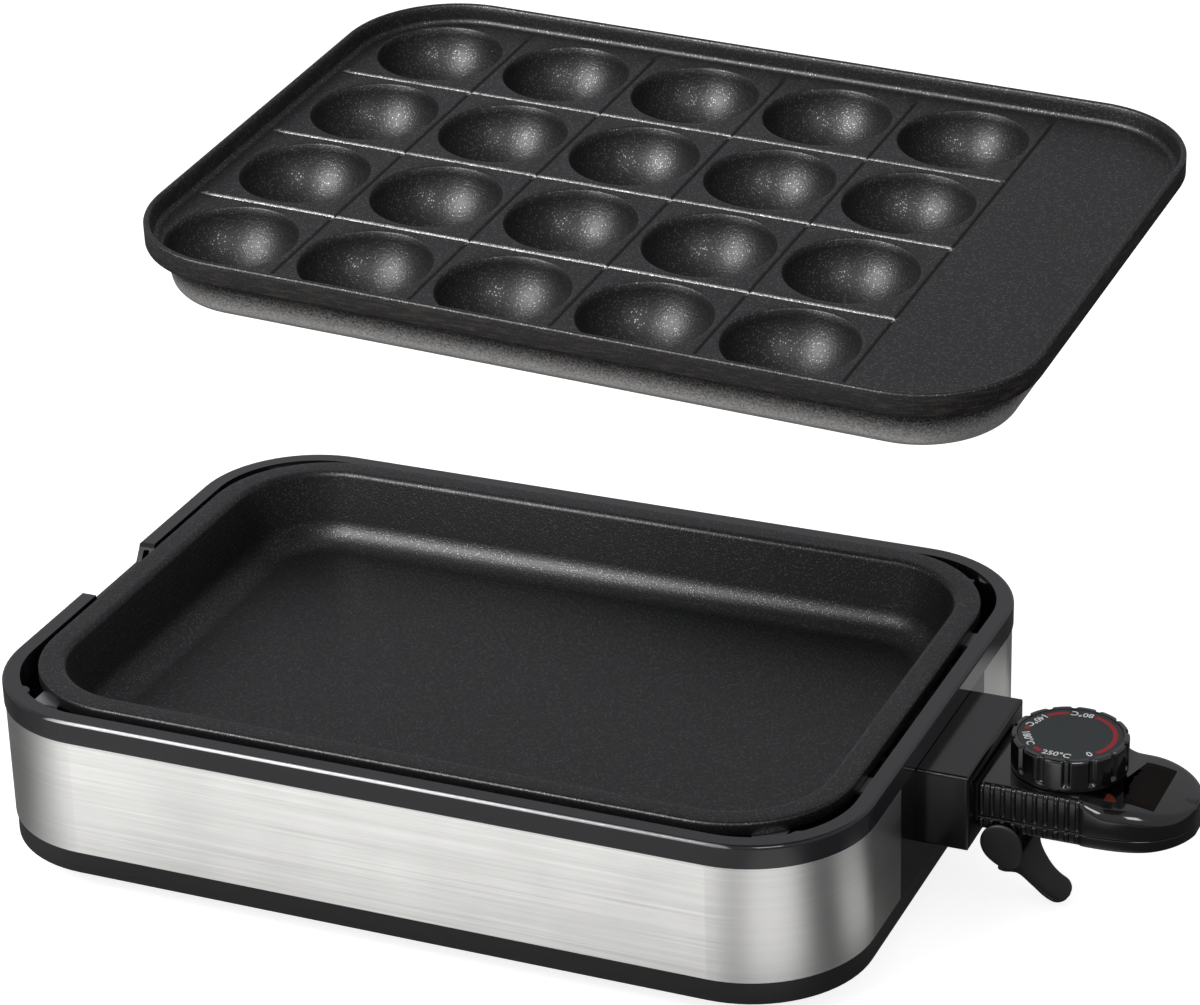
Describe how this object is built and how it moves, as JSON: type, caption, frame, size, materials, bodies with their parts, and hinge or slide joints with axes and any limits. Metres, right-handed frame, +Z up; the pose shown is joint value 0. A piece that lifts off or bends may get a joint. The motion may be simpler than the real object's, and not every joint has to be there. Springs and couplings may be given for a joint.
{
  "type": "takoyaki maker",
  "caption": "Electric hot plate base with a flat plate, a lift-off plate with round batter cavities, and a plug-in temperature controller with dial.",
  "frame": {"origin": "centre of the base's flat underside, above the feet", "axes": "+X towards the controller, +Y away from the front, +Z up"},
  "size_m": [0.4924, 0.2967, 0.3235],
  "materials": {
    "rubber_black": "matte rubber",
    "steel_screw": "zinc plated",
    "plinth_black": "satin moulded",
    "brushed_band": "brushed along its length",
    "panel_black": "gloss moulded",
    "gloss_black": "high gloss",
    "zinc_sheet": "zinc plated sheet",
    "aluminised": "aluminised sheet",
    "heater_sheath": "heat-darkened sheath",
    "ceramic": "unglazed ceramic",
    "brass_contact": "drawn brass",
    "housing_black": "satin gloss",
    "coated_cast": "cast, speckled non-stick coating",
    "coated_tako": "cast, non-stick coating, bare below",
    "controller_black": "gloss moulded",
    "rod_steel": "drawn stainless",
    "bimetal": "spring strip",
    "silver_point": "silver",
    "dial_black": "high gloss",
    "dial_face": "printed",
    "amber_lens": "clear amber",
    "lamp_glass": "glass",
    "resistor_body": "lacquer",
    "fuse_case": "drawn case",
    "lead_red": "silicone sleeve",
    "gland_rubber": "matte rubber",
    "matte_black": "moulded",
    "lever_black": "fine matte moulded"
  },
  "bodies": {
    "base": {"feet": "rubber_black", "foot_screws": "steel_screw", "bottom_pan": "plinth_black", "frame_screws": "steel_screw", "steel_band": "brushed_band", "side_panel": "panel_black", "top_frame": "gloss_black", "plate_supports": "zinc_sheet", "support_screws": "steel_screw", "reflector_tray": "aluminised", "tray_screws": "steel_screw", "heater_element": "heater_sheath", "heater_clips": "zinc_sheet", "end_insulators": "ceramic", "terminal_pins": "brass_contact", "terminal_housing": "housing_black", "housing_screws": "steel_screw", "sensor_guide": "zinc_sheet"},
    "flat_plate_body": {"flat_plate": "coated_cast"},
    "takoyaki_plate_body": {"takoyaki_plate": "coated_tako"},
    "controller": {"upper_shell": "controller_black", "lower_shell": "controller_black", "shell_screws": "steel_screw", "socket_block": "matte_black", "socket_contacts": "brass_contact", "sensor_rod": "rod_steel", "thermostat_base": "ceramic", "thermostat_blades": "bimetal", "contact_points": "silver_point", "pilot_lens": "amber_lens", "neon_lamp": "lamp_glass", "lamp_resistor": "resistor_body", "thermal_fuse": "fuse_case", "inner_leads": "lead_red", "cord_gland": "gland_rubber", "cord_clamp": "matte_black", "lever_pin": "rod_steel"},
    "dial_body": {"dial": "dial_black", "dial_disc": "dial_face", "dial_shaft": "rod_steel", "shaft_clip": "zinc_sheet", "adjusting_screw": "ceramic"},
    "lever_body": {"release_lever": "lever_black"}
  },
  "joints": [
    {"name": "flat_plate_lift", "type": "slide", "parent": "base", "child": "flat_plate_body", "axis": [0, 0, 1], "range_m": [0, 0.08]},
    {"name": "takoyaki_plate_hold", "type": "hinge", "parent": "flat_plate_body", "child": "takoyaki_plate_body", "pos_m": [0.598, -2.184, -0.373], "axis": [0.8861, 0.316, -0.339], "range_deg": [-5.35, 0]},
    {"name": "controller_unplug", "type": "slide", "parent": "base", "child": "controller", "axis": [1, 0, 0], "range_m": [0, 0.06]},
    {"name": "dial_turn", "type": "hinge", "parent": "controller", "child": "dial_body", "pos_m": [0.2459, 0, 0.055], "axis": [0, 0, 1], "range_deg": [0, 270]},
    {"name": "lever_pull", "type": "hinge", "parent": "controller", "child": "lever_body", "pos_m": [0.2265, 0, 0.029], "axis": [0, -1, 0], "range_deg": [0, 30]}
  ]
}
